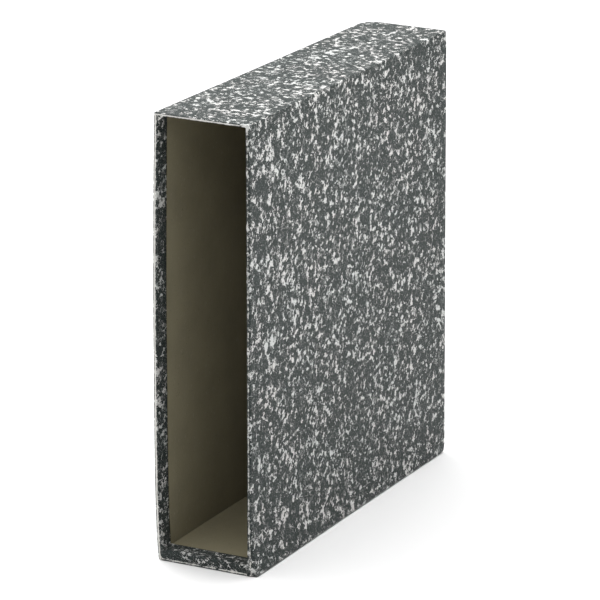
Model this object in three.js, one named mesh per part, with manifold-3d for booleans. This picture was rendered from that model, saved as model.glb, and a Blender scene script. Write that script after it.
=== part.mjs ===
// Open slipcase for an A4 lever arch file: greyboard panels joined by paper tape and
// covered in marbled paper that turns in round the mouth.
// Millimetres, +Z up, the mouth faces -Y, origin at the middle of the underside.
import * as THREE from "three";
import { mergeVertices } from "three/addons/utils/BufferGeometryUtils.js";
import Module from "manifold-3d";

const wasm = await Module();
wasm.setup();

// Driving dimensions
const HEIGHT = 333; // outside, underside to top
const DEPTH = 310; // outside, mouth to back
const MOUTH_WIDTH = 76.5; // outside, at the mouth
const BACK_WIDTH = 68.5; // outside, at the back: the case tapers towards it
const PAPER = 0.3; // covering paper and tape
const GAP = 0.3; // glue line between two pieces
const BOARD = 1.9; // greyboard panels
const FLOOR_LAYER = 2.1; // each greyboard layer of the raised floor
const TURN_IN = 14; // covering paper turned in behind the mouth
const MARGIN = 15; // covering paper turned over onto the back and the underside
const TAPE_LEG = 18; // width of each leg of a corner tape
const TAPE_SPACE = 2; // between the ends of two tapes that meet round the back
const BACK_PAPER_SETBACK = 2; // the back paper stops this short of the edges

// Depth of each layer below the outside of the covering paper
const TAPE_OUT = PAPER + GAP;
const TAPE_IN = TAPE_OUT + PAPER;
const BOARD_OUT = TAPE_IN + GAP;
const BOARD_IN = BOARD_OUT + BOARD;
const LINING_OUT = BOARD_IN + GAP;
const LINING_IN = LINING_OUT + PAPER;

// Depth of each layer below the outside of the back, where the turned-over margins add one
const FLANGE_OUT = PAPER + GAP;
const FLANGE_IN = FLANGE_OUT + PAPER;
const BACK_TAPE_OUT = FLANGE_IN + GAP;
const BACK_TAPE_IN = BACK_TAPE_OUT + PAPER;
const BACK_BOARD_OUT = BACK_TAPE_IN + GAP;
const BACK_BOARD_IN = BACK_BOARD_OUT + BOARD;

// Heights of the raised floor above the underside
const LOWER_LAYER = BOARD_IN + GAP;
const UPPER_LAYER = LOWER_LAYER + FLOOR_LAYER + GAP;
const FLOOR_TOP = UPPER_LAYER + FLOOR_LAYER;
const FLOOR_LINING = FLOOR_TOP + GAP;
const FLOOR_LINING_TOP = FLOOR_LINING + PAPER;

const MOUTH = -DEPTH / 2;
const BACK = DEPTH / 2;
const LEFT = -1;
const RIGHT = 1;

const greyboard = { color: 0x6b6250, roughness: 0.9, metalness: 0 };
const marbled = { color: 0x5c6462, roughness: 0.6, metalness: 0 };
const tape = { color: 0xa98f68, roughness: 0.8, metalness: 0 };

// Half of the outside width at a depth along Y
function halfWidth(y) {
  const t = (y - MOUTH) / DEPTH;
  return (MOUTH_WIDTH * (1 - t) + BACK_WIDTH * t) / 2;
}

// A solid with a four-cornered plan, counter-clockwise, between two heights
function prism(plan, z0, z1) {
  const shape = new THREE.Shape(plan.map(([x, y]) => new THREE.Vector2(x, y)));
  const geometry = new THREE.ExtrudeGeometry(shape, { depth: z1 - z0, bevelEnabled: false });
  geometry.translate(0, 0, z0);
  return geometry;
}

// A block across the case, its sides kept one depth inside the outer walls
function across(inset, y0, y1, z0, z1) {
  const a = halfWidth(y0) - inset;
  const b = halfWidth(y1) - inset;
  return prism([[-a, y0], [a, y0], [b, y1], [-b, y1]], z0, z1);
}

// A block along one side wall, between two depths below its outside
function along(side, outer, inner, y0, y1, z0, z1) {
  const plan = [
    [halfWidth(y0) - inner, y0],
    [halfWidth(y0) - outer, y0],
    [halfWidth(y1) - outer, y1],
    [halfWidth(y1) - inner, y1],
  ];
  if (side === RIGHT) return prism(plan, z0, z1);
  return prism(plan.map(([x, y]) => [-x, y]).reverse(), z0, z1);
}

// A block in the middle of the width, with square ends
function between(halfSpan, y0, y1, z0, z1) {
  return prism([[-halfSpan, y0], [halfSpan, y0], [halfSpan, y1], [-halfSpan, y1]], z0, z1);
}

function toSolid(geometry) {
  const bare = geometry.clone();
  bare.deleteAttribute("normal");
  bare.deleteAttribute("uv");
  const merged = mergeVertices(bare, 1e-5);
  return new wasm.Manifold(new wasm.Mesh({
    numProp: 3,
    vertProperties: new Float32Array(merged.attributes.position.array),
    triVerts: new Uint32Array(merged.index.array),
  }));
}

function toGeometry(solid) {
  const mesh = solid.getMesh();
  const geometry = new THREE.BufferGeometry();
  geometry.setAttribute("position", new THREE.BufferAttribute(mesh.vertProperties, 3));
  geometry.setIndex(new THREE.BufferAttribute(mesh.triVerts, 1));
  geometry.computeVertexNormals();
  return geometry;
}

function joined(blocks) {
  return toGeometry(blocks.map(toSolid).reduce((sum, block) => sum.add(block)));
}

const slipcase = new THREE.Group();

function piece(name, geometry, look) {
  const mesh = new THREE.Mesh(geometry, new THREE.MeshStandardMaterial(look));
  mesh.name = name;
  slipcase.add(mesh);
}

// Greyboard: the side panels run the full height, the others stand between them
function addPanels() {
  const front = MOUTH + PAPER + GAP;
  const back = BACK - BACK_BOARD_OUT;
  const betweenSides = BOARD_IN + GAP;
  const z0 = BOARD_OUT;
  const z1 = HEIGHT - BOARD_OUT;
  piece("left_side_board", along(LEFT, BOARD_OUT, BOARD_IN, front, back, z0, z1), greyboard);
  piece("right_side_board", along(RIGHT, BOARD_OUT, BOARD_IN, front, back, z0, z1), greyboard);
  piece("top_board", across(betweenSides, front, back, z1 - BOARD, z1), greyboard);
  piece("bottom_board", across(betweenSides, front, back, z0, z0 + BOARD), greyboard);
  const backBottom = z0 + BOARD + GAP;
  const backTop = z1 - BOARD - GAP;
  const inside = BACK - BACK_BOARD_IN;
  piece("back_board", across(betweenSides, inside, back, backBottom, backTop), greyboard);
}

// Two more layers of greyboard raise the floor
function addFloor() {
  const front = MOUTH + PAPER + GAP;
  const back = BACK - BACK_BOARD_IN - GAP;
  const inset = LINING_IN + GAP;
  const lowerTop = LOWER_LAYER + FLOOR_LAYER;
  piece("floor_layer_lower", across(inset, front, back, LOWER_LAYER, lowerTop), greyboard);
  piece("floor_layer_upper", across(inset, front, back, UPPER_LAYER, FLOOR_TOP), greyboard);
}

// Paper tape over the four long corners and the four corners round the back
function addCornerTapes() {
  const front = MOUTH + PAPER + GAP;
  const sideBack = BACK - BACK_BOARD_OUT;
  const wraps = BACK - BACK_TAPE_IN;
  const end = BACK - BACK_TAPE_OUT;
  const low = TAPE_OUT + PAPER;
  const high = HEIGHT - low;
  const levels = { bottom: [low, low + PAPER], top: [high - PAPER, high] };
  const legs = { bottom: [low, TAPE_LEG], top: [HEIGHT - TAPE_LEG, high] };
  const clear = TAPE_LEG + TAPE_SPACE;
  for (const [name, [z0, z1]] of Object.entries(levels)) {
    const [legFrom, legTo] = legs[name];
    for (const side of [LEFT, RIGHT]) {
      const flat = along(side, TAPE_OUT, TAPE_LEG, front, sideBack, z0, z1);
      const upright = along(side, TAPE_OUT, TAPE_IN, front, sideBack, legFrom, legTo);
      const sideName = side === LEFT ? "left" : "right";
      piece(`corner_tape_${name}_${sideName}`, joined([flat, upright]), tape);
    }
    const middle = BACK_WIDTH / 2 - clear;
    const plate = between(middle, BACK - TAPE_LEG, end, z0, z1);
    const hang = between(middle, wraps, end, legFrom, legTo);
    piece(`back_tape_${name}`, joined([plate, hang]), tape);
  }
  for (const side of [LEFT, RIGHT]) {
    const plate = along(side, TAPE_OUT, TAPE_IN, BACK - TAPE_LEG, end, clear, HEIGHT - clear);
    const wrap = along(side, TAPE_OUT, TAPE_LEG, wraps, end, clear, HEIGHT - clear);
    piece(`back_tape_${side === LEFT ? "left" : "right"}`, joined([plate, wrap]), tape);
  }
}

// One marbled sheet over both sides and the top, turned in round the mouth and turned over
// onto the back and the underside
function addWrap() {
  const bottom = PAPER + GAP;
  const end = BACK - FLANGE_OUT;
  const lip = MOUTH + PAPER;
  const tuck = MOUTH + TURN_IN;
  const flange = BACK - FLANGE_IN;
  const blocks = [
    across(0, MOUTH, end, HEIGHT - PAPER, HEIGHT),
    across(0, MOUTH, lip, HEIGHT - LINING_IN, HEIGHT),
    across(LINING_OUT, MOUTH, tuck, HEIGHT - LINING_IN, HEIGHT - LINING_OUT),
    across(0, flange, end, HEIGHT - MARGIN, HEIGHT),
  ];
  for (const side of [LEFT, RIGHT]) {
    const liningFrom = FLOOR_LINING_TOP + GAP;
    blocks.push(along(side, 0, PAPER, MOUTH, end, bottom, HEIGHT));
    blocks.push(along(side, 0, LINING_IN, MOUTH, lip, bottom, HEIGHT));
    blocks.push(along(side, LINING_OUT, LINING_IN, MOUTH, tuck, liningFrom, HEIGHT - LINING_OUT));
    blocks.push(along(side, 0, MARGIN, flange, end, bottom, HEIGHT));
    blocks.push(along(side, 0, MARGIN, lip, end, bottom, bottom + PAPER));
  }
  piece("wrap_paper", joined(blocks), marbled);
}

// Underside sheet, turned up over the front of the floor and in onto it
function addBottomPaper() {
  const inset = LINING_IN + GAP;
  const lip = MOUTH + PAPER;
  const tuck = MOUTH + TURN_IN;
  piece("bottom_paper", joined([
    across(0, MOUTH, BACK - FLANGE_OUT, 0, PAPER),
    across(inset, MOUTH, lip, 0, FLOOR_LINING_TOP),
    across(inset, MOUTH, tuck, FLOOR_LINING, FLOOR_LINING_TOP),
  ]), marbled);
}

function addBackPaper() {
  const lo = BACK_PAPER_SETBACK;
  const hi = HEIGHT - BACK_PAPER_SETBACK;
  piece("back_paper", between(BACK_WIDTH / 2 - lo, BACK - PAPER, BACK, lo, hi), marbled);
}

addPanels();
addFloor();
addCornerTapes();
addWrap();
addBottomPaper();
addBackPaper();

export default slipcase;
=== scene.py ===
"""Open slipcase for a lever arch file: greyboard covered in marbled paper.

Metres, +Z up, the mouth faces -Y. The case's overall sizes and the places of its pieces come
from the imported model's boxes; the radii, the laps and the way it has given are named below.
"""
import math

import bmesh
import bpy
from mathutils import Euler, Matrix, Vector, noise


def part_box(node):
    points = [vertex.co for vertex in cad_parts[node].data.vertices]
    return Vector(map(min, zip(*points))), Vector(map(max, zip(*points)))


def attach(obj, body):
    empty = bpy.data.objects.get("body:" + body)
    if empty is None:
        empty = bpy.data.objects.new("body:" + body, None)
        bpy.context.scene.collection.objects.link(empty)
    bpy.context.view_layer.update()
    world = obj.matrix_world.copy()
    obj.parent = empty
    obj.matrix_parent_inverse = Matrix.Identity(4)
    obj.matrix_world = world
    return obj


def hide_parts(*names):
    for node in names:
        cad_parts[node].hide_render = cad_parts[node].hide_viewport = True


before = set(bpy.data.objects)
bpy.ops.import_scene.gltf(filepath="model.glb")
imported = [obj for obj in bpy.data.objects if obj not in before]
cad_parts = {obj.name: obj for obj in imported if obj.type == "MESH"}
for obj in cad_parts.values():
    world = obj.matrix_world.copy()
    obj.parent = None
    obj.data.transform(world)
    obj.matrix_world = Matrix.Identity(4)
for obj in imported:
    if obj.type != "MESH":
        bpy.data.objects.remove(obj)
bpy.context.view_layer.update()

MM = 0.001

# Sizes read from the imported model
case_low, case_high = (Vector(corner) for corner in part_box("wrap_paper"))
back_low, back_high = (Vector(corner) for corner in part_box("back_paper"))
under_high = Vector(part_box("bottom_paper")[1])
floor_high = Vector(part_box("floor_layer_upper")[1])
board_low = Vector(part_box("top_board")[0])

GLUE_LINE = 0.3 * MM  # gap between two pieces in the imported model
PAPER = under_high.z - floor_high.z - GLUE_LINE
BACK_PAPER_SETBACK = back_low.z
MOUTH_HALF = case_high.x
BACK_HALF = back_high.x + BACK_PAPER_SETBACK
TOP = case_high.z
MOUTH = case_low.y
BACK = back_high.y
FLANGE = case_high.y  # where the side sheet lies on the back
DEPTH = BACK - MOUTH
FLOOR = under_high.z
WALL = TOP - board_low.z + 2 * PAPER  # down to the inner face of the turned-in paper

# How far the covering paper laps over
FLANGE_WIDTH = 15 * MM
TURN_IN = 14 * MM
BACK_PAPER_SHARE = 0.9  # thickness of the sheet on the back, as a share of the others'

# Radii of the folds
FOLD_RADIUS = 1.8 * MM
CRISP_RADIUS = 0.8 * MM
RIM_RADIUS = 1.0 * MM
SOLE_RADIUS = 1.5 * MM

# Inner corners of the mouth: the paper bridges the two on the left and nearly follows the
# two on the right
WEB = 4.5 * MM
MIN_WEB = 0.3 * MM
TIGHT_WEB = 0.6 * MM
BROAD_WEB = 1.5 * MM  # a left web broader than this is painted pale, as painted light
FOOT_WEB_SHARE = 0.65  # the left web at the floor, as a share of the one at the top

# Small clearances between sheets
SIDE_LIFT = 0.35 * MM  # the side sheet's lower edge above the ground
FLOOR_LIFT = 0.2 * MM  # the turned-in side paper above the turned-in floor paper
WALL_CLEARANCE = 0.1 * MM
SOLE_CLEARANCE = 0.2 * MM

# How worn the paper is, from 0 to 1; the value for the webs is painted light instead
RIM_WEAR = [(0.58, 1.0), (0.42, 0.85)]  # (share of the wall's thickness, wear)
RIM_INSIDE_WEAR = 0.6
RIM_OUTSIDE_WEAR = 0.1
EDGE_WEAR = 0.2  # on the side, 1 mm from the rim; it falls off with the distance
EDGE_ROWS = (1.6, 2.5, 4, 7, 11)  # mm from the rim
UNWORN = 16 * MM  # from the rim, the side is unworn from here on
FOLD_WEAR = 0.35
FOOT_WEAR = 0.5
HEAD_WEAR = 0.4
# Painted light: the broad webs under the top left corner of the mouth face down into shade and are
# painted pale as if lit
WEB_PAINTED_LIGHT = 0.65
FRONT_WEAR = [(5.0, 0.0), (3.2, 0.0), (2.5, 0.2), (1.9, 0.5), (1.3, 0.68), (1.0, 0.4)]  # (z mm, wear)

# How the whole case has given
SIDE_BOW = 3.7 * MM
BOW_AT_GROUND = 0.3  # share of the bow that is there at the ground
BOW_FADE = 26 * MM
SIDE_LEAN = 1.6 * MM
FOOT_FLARE = 5.8 * MM
FOOT_REACH = 18 * MM
FLOOR_CROWN = 4.0 * MM
BACK_DROP = 0.7 * MM
WAVE = 0.12 * MM
WAVES_ACROSS = 8  # per metre, across the case
WAVES_ALONG = 14  # per metre, along its depth and height
EDGE_FADE = 20 * MM

# Thickness of each pressed wall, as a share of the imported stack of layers
TOP_SHARE = 0.6
LEFT_SHARE = 0.70
RIGHT_SHARE = 0.88
PRESS_FADE = 20 * MM

# The rim of the right wall is less worn: by how much, from which x, and over what width
FRESH_RIM = 0.45
FRESH_RIM_START = 20 * MM
FRESH_RIM_FADE = 15 * MM

# Boards and tapes: how far their edges are eased, and the length of a slice
BOARD_EASE = 0.25 * MM
TAPE_EASE = 0.05 * MM
SLICE = 6 * MM

# Knocked corners: (corner, push in mm, reach in mm)
BUMPED_CORNERS = [
    ((-BACK_HALF, BACK, TOP), (0.4, -0.6, -0.9), 13),
    ((BACK_HALF, BACK, TOP), (-0.4, -0.5, 0.0), 7),
    ((BACK_HALF, BACK, 0), (-0.5, -0.9, 0.5), 8),
    ((-BACK_HALF, BACK, 0), (0.6, -0.9, 0.5), 9),
    ((MOUTH_HALF + FOOT_FLARE, MOUTH, 0), (0.0, 1.3, 0.7), 10),
]


# ---------------------------------------------------------------- camera

def add_camera():
    """The camera stands to the right of the mouth and looks slightly down."""
    azimuth = math.radians(28.73)
    elevation = math.radians(17.16)
    roll = math.radians(-0.26)
    distance = 3.334
    focal_length = 287.9
    target = Vector((0.0776, MOUTH, 0.2124))
    back = Vector((
        math.sin(azimuth) * math.cos(elevation),
        -math.cos(azimuth) * math.cos(elevation),
        math.sin(elevation),
    ))
    data = bpy.data.cameras.new("camera")
    data.sensor_width = 36
    data.lens = focal_length
    data.clip_end = 100
    camera = bpy.data.objects.new("camera", data)
    camera.location = target + back * distance
    turn = (-back).to_track_quat("-Z", "Y").to_matrix() @ Euler((0, 0, roll)).to_matrix()
    camera.rotation_euler = turn.to_euler()
    bpy.context.collection.objects.link(camera)
    bpy.context.scene.camera = camera


# ---------------------------------------------------------------- shape of the case

def half_width(y):
    """Half of the outside width: the case tapers from the mouth to the back."""
    t = (y - MOUTH) / DEPTH
    return MOUTH_HALF + (BACK_HALF - MOUTH_HALF) * t


def smooth(value):
    """A step from 0 to 1 with soft ends, for a value that runs from 0 to 1."""
    value = min(max(value, 0.0), 1.0)
    return value * value * (3 - 2 * value)


def press(depth, share):
    """The layers of a wall are glued flat: its thickness shrinks to a share of the stack."""
    slack = (1 - share) * WALL
    if depth <= WALL:
        return depth * share
    return depth - slack * (1 - smooth((depth - WALL) / PRESS_FADE))


def soften(point):
    """Moves a point as the case has given: towards the mouth the left wall bows out and the
    right wall leans in with its foot spread, the walls are pressed thinner, the top drops a
    little towards the back, five corners are knocked, and the sides are slightly wavy."""
    x, y, z = point
    side = 1 if x > 0 else -1
    half = half_width(y)
    side_share = RIGHT_SHARE if side > 0 else LEFT_SHARE
    inset = press(half - abs(x), side_share)
    x = side * (half - inset)
    z = TOP - press(TOP - z, TOP_SHARE)
    t = min(max((y - MOUTH) / DEPTH, 0.0), 1.0)
    height = min(max(z / TOP, 0.0), 1.0)
    share = min(abs(x) / half, 1.0)
    if x < 0:
        foot = 1 - math.exp(-z / BOW_FADE)
        bow_share = BOW_AT_GROUND + (1 - BOW_AT_GROUND) * foot
        x -= SIDE_BOW * (1 - height ** 3) * bow_share * (1 - t) ** 1.5 * share
    else:
        x -= SIDE_LEAN * (1 - height) ** 1.5 * (1 - t) ** 1.5 * share
        skin = min(max(1 - inset / (RIGHT_SHARE * WALL), 0.0), 1.0)
        x += FOOT_FLARE * (1 - t) ** 1.6 * math.exp(-z / FOOT_REACH) * skin
    inner = smooth(z / EDGE_FADE) * smooth((TOP - z) / EDGE_FADE) * smooth((BACK - y) / EDGE_FADE)
    ripple = noise.noise(Vector((x * WAVES_ACROSS, y * WAVES_ALONG, z * WAVES_ALONG)))
    x += side * WAVE * inner * ripple
    z -= BACK_DROP * t * height
    place = Vector((x, y, z))
    for corner, push, reach in BUMPED_CORNERS:
        near = (place - Vector(corner)).length
        place += Vector(push) * MM * smooth(1 - near / (reach * MM))
    return place


def spread(first, last, count):
    """Evenly spaced numbers from first to last, both included."""
    return [first + (last - first) * i / count for i in range(count + 1)]


def arc(count):
    """Sines and cosines of a quarter turn, both ends included."""
    return [(math.sin(a), math.cos(a)) for a in spread(0, math.pi / 2, count)]


def fold_path():
    """The way a strip of covering paper takes from its end inside the mouth, round the rim,
    along the outside and over onto the back: (inset, y, wear, inside). Inside is 1 for the
    turned-in paper and 0 from the rim on."""
    lining = WALL
    path = [(lining, y, 0.0, 1.0) for y in spread(MOUTH + TURN_IN, MOUTH + RIM_RADIUS, 8)]
    for s, c in arc(4)[1:]:
        y = MOUTH + RIM_RADIUS * (1 - s)
        path.append((lining - RIM_RADIUS * (1 - c), y, RIM_INSIDE_WEAR * s ** 4, 1.0 - s))
    path += [(lining * share, MOUTH, wear, 0.0) for share, wear in RIM_WEAR]
    for s, c in arc(4):
        y = MOUTH + RIM_RADIUS * (1 - c)
        path.append((RIM_RADIUS * (1 - s), y, RIM_OUTSIDE_WEAR * c ** 4, 0.0))
    path += [(0.0, MOUTH + d * MM, EDGE_WEAR / d, 0.0) for d in EDGE_ROWS]
    last = FLANGE - FOLD_RADIUS
    path += [(0.0, y, 0.0, 0.0) for y in spread(MOUTH + UNWORN, last, 52)]
    for s, c in arc(5)[1:]:
        path.append((FOLD_RADIUS * (1 - c), last + FOLD_RADIUS * s, FOLD_WEAR * s * c * 2, 0.0))
    path += [(FOLD_RADIUS + d, FLANGE, 0.0, 0.0) for d in spread(2 * MM, FLANGE_WIDTH, 3)]
    return path


def climb(half, top, low, foot, head, inside):
    """Points up one wall from its foot to the top: (x, z, wear), with painted light in place of wear
    on a broad inner web.
    Outside the corners are rounded; inside they are flat folds that bridge the angle, and a broad one
    is painted pale as painted light."""
    points = []
    broad = head > BROAD_WEB
    for s, c in arc(5)[:-1]:
        u = 2 * math.atan2(s, c) / math.pi
        x = half - foot * ((1 - s) * (1 - inside) + (1 - u) * inside)
        z = low + foot * ((1 - c) * (1 - inside) + u * inside)
        points.append((x, z, FOOT_WEAR * (1 - u) * (1 - inside)))
    for step in spread(0, 1, 60):
        points.append((half, low + foot + (top - head - low - foot) * step, 0.0))
    for s, c in arc(6)[1:]:
        u = 2 * math.atan2(s, c) / math.pi
        x = half - head * ((1 - c) * (1 - inside) + u * inside)
        z = top - head * ((1 - s) * (1 - inside) + (1 - u) * inside)
        # The head term is real wear at the rounded outer corner; the web term paints light onto a
        # broad web that faces down into shade
        wear = HEAD_WEAR * 2 * s * c * (1 - inside) + WEB_PAINTED_LIGHT * inside * broad
        points.append((x, z, wear))
    return points


def girth(inset, y, inside, behind):
    """Points up the left wall, over the top and down the right wall at one step of the fold path:
    (x, z, wear), with painted light on the broad left web."""
    t = (y - MOUTH) / DEPTH
    half = half_width(min(y, FLANGE - FOLD_RADIUS)) - inset
    top = TOP - inset
    low = SIDE_LIFT + (FLOOR + FLOOR_LIFT) * smooth(inside * 3) + inset * behind
    corner = CRISP_RADIUS + (FOLD_RADIUS - CRISP_RADIUS) * smooth(t * 2)
    web = MIN_WEB + WEB * max(0.0, 1 - (y - MOUTH) / TURN_IN)
    left_head = corner + (web - corner) * inside
    right_head = corner + (TIGHT_WEB - corner) * inside
    left_foot = SOLE_RADIUS + (FOOT_WEB_SHARE * web - SOLE_RADIUS) * inside
    right_foot = SOLE_RADIUS + (TIGHT_WEB - SOLE_RADIUS) * inside
    left = climb(half, top, low, left_foot, left_head, inside)
    right = climb(half, top, low, right_foot, right_head, inside)
    across = [(x, top, 0.0) for x in spread(-(half - left_head), half - right_head, 16)[1:-1]]
    return [(-x, z, wear) for x, z, wear in left] + across + right[::-1]


# ---------------------------------------------------------------- meshes

def finish_sheet(name, rows, wears, thickness, materials):
    """A closed sheet of paper from rows of outer points, thickened inwards. Each wears row says how
    pale its points are made, from 0 to 1: worn paper, and painted light on the broad webs."""
    columns = len(rows[0])
    vertices = [soften(point) for row in rows for point in row]
    faces = []
    for i in range(len(rows) - 1):
        for j in range(columns - 1):
            a = i * columns + j
            faces.append((a, a + 1, a + columns + 1, a + columns))
    mesh = bpy.data.meshes.new(name)
    mesh.from_pydata(vertices, [], faces)
    wear = mesh.attributes.new("wear", "FLOAT", "POINT")
    wear.data.foreach_set("value", [value for row in wears for value in row])
    for polygon in mesh.polygons:
        polygon.use_smooth = True
    piece = bpy.data.objects.new(name, mesh)
    bpy.context.collection.objects.link(piece)
    for material in materials:
        mesh.materials.append(material)
    solidify = piece.modifiers.new("thickness", "SOLIDIFY")
    solidify.thickness = thickness
    solidify.offset = -1
    solidify.material_offset = 1
    solidify.material_offset_rim = 1
    return piece


def rim_share(x):
    """How much of the full wear the rim shows: less on the right wall than on the rest."""
    return 1.0 - FRESH_RIM * smooth((x - FRESH_RIM_START) / FRESH_RIM_FADE)


def make_wrap(materials):
    """The sheet over both sides and the top."""
    rows = []
    wears = []
    for inset, y, wear, inside in fold_path():
        behind = 1.0 if y > FLANGE - FOLD_RADIUS else 0.0
        points = girth(inset, y, inside, behind)
        rows.append([(x, y, z) for x, z, _ in points])
        wears.append([max(wear * rim_share(x), bend) for x, _, bend in points])
    return finish_sheet("marbled_wrap", rows, wears, PAPER, materials)


def make_bottom(materials):
    """The sheet under the case, turned up over the front of the floor and in onto it, and
    turned up at the other end onto the back with its corners cut at 45 degrees."""
    rows = []
    wears = []

    def row(y, z, edge_inset, wear):
        half = half_width(y) - edge_inset
        points = [(x, y, z) for x in spread(half, -half, 40)]
        rows.append(points)
        wears.append([wear] * len(points))

    beside_wall = WALL + WALL_CLEARANCE
    under_wall = SOLE_RADIUS + SOLE_CLEARANCE
    bend = 2 * RIM_RADIUS
    for y in spread(MOUTH + TURN_IN, MOUTH + bend, 8):
        row(y, FLOOR, beside_wall, 0.0)
    for s, c in arc(5)[1:]:
        row(MOUTH + bend * (1 - s), FLOOR - bend * (1 - c), beside_wall, FOLD_WEAR * 2 * s * c)
    for z, wear in FRONT_WEAR:
        row(MOUTH, z * MM, beside_wall, wear)
    for s, c in arc(5)[1:]:
        row(MOUTH + RIM_RADIUS * (1 - c), RIM_RADIUS * (1 - s), beside_wall, FOOT_WEAR * c ** 8)
    for y in spread(MOUTH + 1.6 * RIM_RADIUS, FLANGE - SOLE_RADIUS, 50):
        row(y, 0.0, under_wall, 0.0)
    for s, c in arc(5)[1:]:
        rise = SOLE_RADIUS * (1 - c)
        row(FLANGE - SOLE_RADIUS * (1 - s), rise, under_wall + rise, FOLD_WEAR * 2 * s * c)
    straight = SOLE_RADIUS + 2 * MM
    for rise in spread(straight, FLANGE_WIDTH, 4):
        row(FLANGE, rise, under_wall + rise, 0.0)
    return finish_sheet("marbled_bottom", rows, wears, PAPER, materials)


def make_back(materials):
    """The sheet over the back, set in a little from its edges."""
    half = BACK_HALF - BACK_PAPER_SETBACK
    rows = []
    for z in spread(back_low.z, back_high.z, 60):
        rows.append([(x, BACK, z) for x in spread(half, -half, 14)])
    wears = [[0.0] * len(row) for row in rows]
    return finish_sheet("marbled_back", rows, wears, PAPER * BACK_PAPER_SHARE, materials)


def make_board(node, name, material, ease, crown=0.0):
    """A board or tape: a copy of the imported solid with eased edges, cut into slices so that
    it bends with the case. The crown is how far a floor board arches up between its ends."""
    mesh = bpy.data.objects[node].data.copy()
    mesh.name = name
    work = bmesh.new()
    work.from_mesh(mesh)
    bmesh.ops.remove_doubles(work, verts=work.verts, dist=1e-6)
    bmesh.ops.dissolve_limit(work, angle_limit=0.01, verts=work.verts, edges=work.edges)
    bmesh.ops.bevel(
        work, geom=work.edges[:], offset=ease, segments=2, affect="EDGES", profile=0.5
    )
    for axis in range(3):
        places = [v.co[axis] for v in work.verts]
        start = min(places)
        size = max(places) - start
        if size < 2 * SLICE:
            continue
        normal = Vector([1.0 if i == axis else 0.0 for i in range(3)])
        steps = int(size / SLICE)
        for k in range(1, steps):
            point = normal * (start + size * k / steps)
            everything = work.verts[:] + work.edges[:] + work.faces[:]
            bmesh.ops.bisect_plane(work, geom=everything, plane_co=point, plane_no=normal)
    for vertex in work.verts:
        t = min(max((vertex.co.y - MOUTH - TURN_IN) / (DEPTH - TURN_IN), 0.0), 1.0)
        vertex.co.z += crown * math.sin(math.pi * t)
        vertex.co = soften(vertex.co)
    bmesh.ops.recalc_face_normals(work, faces=work.faces[:])
    work.to_mesh(mesh)
    work.free()
    mesh.materials.clear()
    mesh.materials.append(material)
    piece = bpy.data.objects.new(name, mesh)
    bpy.context.collection.objects.link(piece)
    return piece


# ---------------------------------------------------------------- materials

class Nodes:
    """Short helpers to build one material's node tree. Noise scales are per metre."""

    def __init__(self, name):
        self.material = bpy.data.materials.new(name)
        self.material.use_nodes = True
        self.tree = self.material.node_tree
        self.shader = self.tree.nodes["Principled BSDF"]
        self.place = self.add("ShaderNodeTexCoord").outputs["Object"]

    def add(self, kind, **settings):
        node = self.tree.nodes.new(kind)
        for key, value in settings.items():
            setattr(node, key, value)
        return node

    def link(self, source, target):
        self.tree.links.new(source, target)

    def set(self, socket, value):
        if hasattr(value, "is_linked"):
            self.link(value, socket)
        else:
            socket.default_value = value

    def noise(self, scale, detail=2.0, rough=0.5, place=None, offset=None):
        """Noise at a place, or at the object's own coordinates, shifted by the offset."""
        node = self.add("ShaderNodeTexNoise")
        vector = place or self.place
        if offset:
            shift = self.add("ShaderNodeVectorMath", operation="ADD")
            self.link(vector, shift.inputs[0])
            shift.inputs[1].default_value = offset
            vector = shift.outputs[0]
        self.link(vector, node.inputs["Vector"])
        node.inputs["Scale"].default_value = scale
        node.inputs["Detail"].default_value = detail
        node.inputs["Roughness"].default_value = rough
        return node.outputs["Fac"]

    def band(self, value, low, high, out_low=0.0, out_high=1.0):
        """A smooth step from one output to the other as the value goes from low to high."""
        node = self.add("ShaderNodeMapRange", interpolation_type="SMOOTHSTEP")
        self.link(value, node.inputs["Value"])
        node.inputs["From Min"].default_value = low
        node.inputs["From Max"].default_value = high
        node.inputs["To Min"].default_value = out_low
        node.inputs["To Max"].default_value = out_high
        return node.outputs["Result"]

    def math(self, operation, a, b=0.0):
        node = self.add("ShaderNodeMath", operation=operation)
        self.set(node.inputs[0], a)
        self.set(node.inputs[1], b)
        return node.outputs[0]

    def mix(self, factor, a, b):
        node = self.add("ShaderNodeMix", data_type="RGBA")
        self.set(node.inputs["Factor"], factor)
        self.set(node.inputs["A"], a)
        self.set(node.inputs["B"], b)
        return node.outputs["Result"]

    def bump(self, height, distance, strength):
        """Makes the surface rise and fall with the height, by a distance in metres."""
        node = self.add("ShaderNodeBump")
        node.inputs["Distance"].default_value = distance
        node.inputs["Strength"].default_value = strength
        self.link(height, node.inputs["Height"])
        self.link(node.outputs["Normal"], self.shader.inputs["Normal"])


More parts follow.
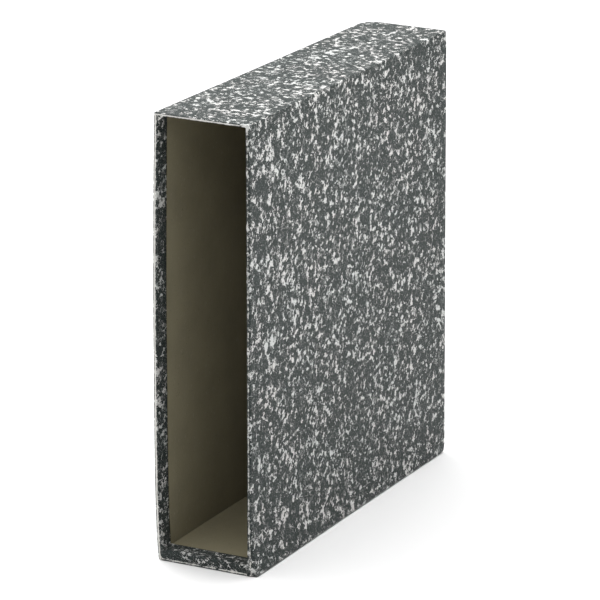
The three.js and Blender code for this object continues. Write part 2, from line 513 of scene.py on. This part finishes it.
def marbled_material():
    """Cloud marble: ragged off-white flecks and wisps over dark grey, worn at the folds, with painted
    light on the broad webs.
    """
    ground_dark = (0.0155, 0.021, 0.020, 1)
    ground_light = (0.041, 0.0505, 0.0485, 1)
    ground_pooled = (0.008, 0.011, 0.010, 1)
    ink_cool = (0.60, 0.615, 0.60, 1)
    ink_warm = (0.64, 0.63, 0.615, 1)
    # bare paper colour for worn rims and folds, also used to paint light onto the shaded broad webs
    bare_paper_and_painted_light = (0.74, 0.73, 0.69, 1)
    stir = 0.0045

    n = Nodes("marbled_paper")
    # The place is stirred, so that the flecks have ragged outlines
    warp = n.add("ShaderNodeTexNoise")
    n.link(n.place, warp.inputs["Vector"])
    warp.inputs["Scale"].default_value = 420
    warp.inputs["Detail"].default_value = 2.0
    centred = n.add("ShaderNodeVectorMath", operation="SUBTRACT")
    n.link(warp.outputs["Color"], centred.inputs[0])
    centred.inputs[1].default_value = (0.5, 0.5, 0.5)
    scaled = n.add("ShaderNodeVectorMath", operation="SCALE")
    n.link(centred.outputs[0], scaled.inputs[0])
    scaled.inputs["Scale"].default_value = stir
    moved = n.add("ShaderNodeVectorMath", operation="ADD")
    n.link(n.place, moved.inputs[0])
    n.link(scaled.outputs[0], moved.inputs[1])
    place = moved.outputs[0]

    # Pale ink: flecks that gather in clusters, thin wisps and fine specks
    cluster = n.noise(60, 1.0, offset=(3.1, 1.7, 0.4))
    fleck = n.noise(222, 6.0, 0.68, place=place)
    raised = n.math("ADD", fleck, n.band(cluster, 0.3, 0.7, -0.03, 0.03))
    flecks = n.band(raised, 0.557, 0.577)
    vein = n.noise(190, 3.0, 0.6, place=place, offset=(7.3, 2.9, 5.1))
    ridge = n.math("ABSOLUTE", n.math("SUBTRACT", vein, 0.5))
    wisps = n.band(ridge, 0.0, 0.02, 1.0, 0.0)
    wisp_mask = n.band(n.noise(170, 2.0, offset=(1.9, 8.2, 3.3)), 0.49, 0.6)
    wisps = n.math("MULTIPLY", wisps, wisp_mask)
    specks = n.band(n.noise(1000, 2.0, 0.6, offset=(4.4, 6.1, 9.2)), 0.56, 0.68, 0.0, 0.26)
    pale = n.math("MAXIMUM", n.math("MAXIMUM", flecks, n.math("MULTIPLY", wisps, 0.8)), specks)
    grain = n.noise(1200, 3.0, 0.6)
    pale = n.math("MULTIPLY", pale, n.band(grain, 0.25, 0.7, 0.7, 1.15))

    # The dark ground pools round the flecks
    ground = n.mix(n.noise(500, 3.0), ground_dark, ground_light)
    ink = n.mix(n.band(n.noise(26, 1.0), 0.3, 0.7), ink_cool, ink_warm)
    pooled = n.band(raised, 0.49, 0.548, 0.0, 0.85)
    ground = n.mix(pooled, ground, ground_pooled)
    printed = n.mix(pale, ground, ink)

    # Rubbed folds and rims, with a ragged edge, and painted light on the broad webs in the top left
    # corner of the mouth
    wear = n.add("ShaderNodeAttribute", attribute_name="wear").outputs["Fac"]
    rub = n.noise(360, 4.0, 0.7, offset=(2.2, 0.6, 7.7))
    ragged = n.math("ADD", wear, n.math("MULTIPLY", n.math("SUBTRACT", rub, 0.5), 1.3))
    # the mask is real wear at rims and folds, and painted light on the broad webs
    rubbed_and_painted_light = n.band(ragged, 0.42, 0.62)
    colour = n.mix(n.math("MULTIPLY", rubbed_and_painted_light, 0.92), printed, bare_paper_and_painted_light)
    n.link(colour, n.shader.inputs["Base Color"])
    n.link(n.band(grain, 0.3, 0.7, 0.5, 0.66), n.shader.inputs["Roughness"])
    n.shader.inputs["Specular IOR Level"].default_value = 0.15
    fibre = n.noise(2600, 3.0, 0.6)
    n.bump(n.math("ADD", fibre, n.math("MULTIPLY", rubbed_and_painted_light, 1.5)), 0.00005, 0.5)
    return n.material


def board_material():
    """Bare greyboard: pressed waste fibre with flecks and faint streaks."""
    light = (0.270, 0.244, 0.160, 1)
    dark = (0.238, 0.215, 0.142, 1)
    streak = (0.29, 0.262, 0.190, 1)
    dirt = (0.12, 0.10, 0.075, 1)
    pale_fibre = (0.47, 0.43, 0.34, 1)

    n = Nodes("greyboard")
    long_grain = n.add("ShaderNodeMapping")
    long_grain.inputs["Scale"].default_value = (1.0, 1.0, 0.22)
    n.link(n.place, long_grain.inputs["Vector"])
    streaks = n.noise(300, 4.0, 0.6, place=long_grain.outputs[0])
    clouds = n.noise(28, 3.0, 0.5)
    base = n.mix(n.band(clouds, 0.3, 0.7), dark, light)
    base = n.mix(n.band(streaks, 0.35, 0.7, 0.0, 0.25), base, streak)
    specks = n.band(n.noise(900, 2.0, 0.5, offset=(5.5, 1.1, 2.2)), 0.66, 0.74, 0.0, 0.6)
    base = n.mix(specks, base, dirt)
    fibres = n.band(n.noise(1300, 3.0, 0.6, place=long_grain.outputs[0]), 0.6, 0.75, 0.0, 0.4)
    base = n.mix(fibres, base, pale_fibre)
    n.link(base, n.shader.inputs["Base Color"])
    n.link(n.band(streaks, 0.3, 0.7, 0.82, 0.95), n.shader.inputs["Roughness"])
    n.shader.inputs["Specular IOR Level"].default_value = 0.2
    n.bump(n.math("ADD", streaks, n.noise(2200, 3.0, 0.65)), 0.0001, 0.6)
    return n.material


def paper_core_material():
    """Cut edge and underside of the covering paper: unprinted, slightly soiled."""
    soiled = (0.42, 0.40, 0.34, 1)
    clean = (0.60, 0.58, 0.52, 1)

    n = Nodes("paper_core")
    soil = n.noise(240, 3.0, 0.6)
    colour = n.mix(n.band(soil, 0.3, 0.7), soiled, clean)
    n.link(colour, n.shader.inputs["Base Color"])
    n.link(n.band(soil, 0.3, 0.7, 0.75, 0.9), n.shader.inputs["Roughness"])
    n.bump(n.noise(2600, 3.0, 0.6), 0.00005, 0.5)
    return n.material


def tape_material():
    """Brown gummed paper tape."""
    dark = (0.30, 0.19, 0.095, 1)
    light = (0.42, 0.29, 0.16, 1)

    n = Nodes("kraft_tape")
    ribs = n.add("ShaderNodeMapping")
    ribs.inputs["Scale"].default_value = (1.0, 0.2, 1.0)
    n.link(n.place, ribs.inputs["Vector"])
    fibre = n.noise(700, 4.0, 0.6, place=ribs.outputs[0])
    colour = n.mix(n.band(fibre, 0.3, 0.7), dark, light)
    n.link(colour, n.shader.inputs["Base Color"])
    n.link(n.band(fibre, 0.3, 0.7, 0.55, 0.75), n.shader.inputs["Roughness"])
    n.bump(fibre, 0.00005, 0.6)
    return n.material


def floor_material():
    """Pale studio floor."""
    dark = (0.86, 0.86, 0.86, 1)
    light = (0.88, 0.88, 0.88, 1)

    n = Nodes("studio_floor")
    shade = n.noise(3, 1.0)
    n.link(n.mix(shade, dark, light), n.shader.inputs["Base Color"])
    n.shader.inputs["Roughness"].default_value = 0.9
    return n.material


# ---------------------------------------------------------------- studio

def add_stage(material):
    """Floor that curves up into a backdrop behind the case."""
    front = -5.0
    curve_start = 3.0
    curve_radius = 1.5
    top = 6.0
    half = 8.0
    mesh = bpy.data.meshes.new("studio_floor")
    profile = [(front, 0.0), (curve_start, 0.0)]
    profile += [(curve_start + curve_radius * s, curve_radius * (1 - c)) for s, c in arc(12)[1:]]
    profile.append((curve_start + curve_radius, top))
    vertices = [(x, y, z) for y, z in profile for x in (-half, half)]
    faces = [(2 * i, 2 * i + 1, 2 * i + 3, 2 * i + 2) for i in range(len(profile) - 1)]
    mesh.from_pydata(vertices, [], faces)
    for polygon in mesh.polygons:
        polygon.use_smooth = True
    mesh.materials.append(material)
    stage = bpy.data.objects.new("studio_floor", mesh)
    bpy.context.collection.objects.link(stage)


# Soft lights: name, place, what it is aimed at, side of its square, watts, spread in degrees
LIGHTS = [
    ("overhead", (0.0, 0.6, 2.6), (0.0, 0.6, 0.0), 4.0, 150, 180),
    ("upper_right", (0.9, -0.12, 0.6), (0.04, -0.03, 0.34), 0.3, 0.22, 38),
    ("upper_left", (-1.0, 0.3, 1.5), (0.0, 0.0, 0.3), 0.8, 13, 180),
    ("front", (0.35, -1.2, 1.35), (0.0, -0.15, 0.15), 0.5, 3.8, 180),
]
WORLD_STRENGTH = 0.2


def add_light(name, location, target, side, power, spread):
    """A soft square light aimed at a point."""
    data = bpy.data.lights.new(name, "AREA")
    data.shape = "SQUARE"
    data.size = side
    data.energy = power
    data.spread = math.radians(spread)
    light = bpy.data.objects.new(name, data)
    light.location = location
    direction = Vector(target) - Vector(location)
    light.rotation_euler = direction.to_track_quat("-Z", "Y").to_euler()
    bpy.context.collection.objects.link(light)


def add_studio():
    """Four area lights in a dim white world."""
    world = bpy.data.worlds.new("studio")
    world.use_nodes = True
    background = world.node_tree.nodes["Background"]
    background.inputs["Color"].default_value = (1, 1, 1, 1)
    background.inputs["Strength"].default_value = WORLD_STRENGTH
    bpy.context.scene.world = world
    bpy.context.scene.view_settings.view_transform = "Standard"
    for light in LIGHTS:
        add_light(*light)


# ---------------------------------------------------------------- build

def adopt(piece, node):
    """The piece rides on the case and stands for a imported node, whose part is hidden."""
    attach(piece, "root")
    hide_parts(node)


add_camera()

marbled = marbled_material()
core = paper_core_material()
board = board_material()
tape = tape_material()

adopt(make_wrap([marbled, core]), "wrap_paper")
adopt(make_bottom([marbled, core]), "bottom_paper")
adopt(make_back([marbled, core]), "back_paper")

panels = [
    ("left_side_board", "side_panel_left", "greyboard", 0.0),
    ("right_side_board", "side_panel_right", "greyboard", 0.0),
    ("top_board", "top_panel", "greyboard", 0.0),
    ("bottom_board", "bottom_panel", "greyboard", 0.0),
    ("back_board", "back_panel", "greyboard", 0.0),
    ("floor_layer_lower", "floor_panel_lower", "floor_board", 0.0),
    ("floor_layer_upper", "floor_panel_upper", "floor_board", FLOOR_CROWN),
]
for node, name, slot, crown in panels:
    adopt(make_board(node, name, board, BOARD_EASE, crown), node)

tapes = [f"corner_tape_{end}_{side}" for end in ("top", "bottom") for side in ("left", "right")]
tapes += [f"back_tape_{edge}" for edge in ("top", "bottom", "left", "right")]
for node in tapes:
    adopt(make_board(node, f"{node}_strip", tape, TAPE_EASE), node)

add_stage(floor_material())
add_studio()
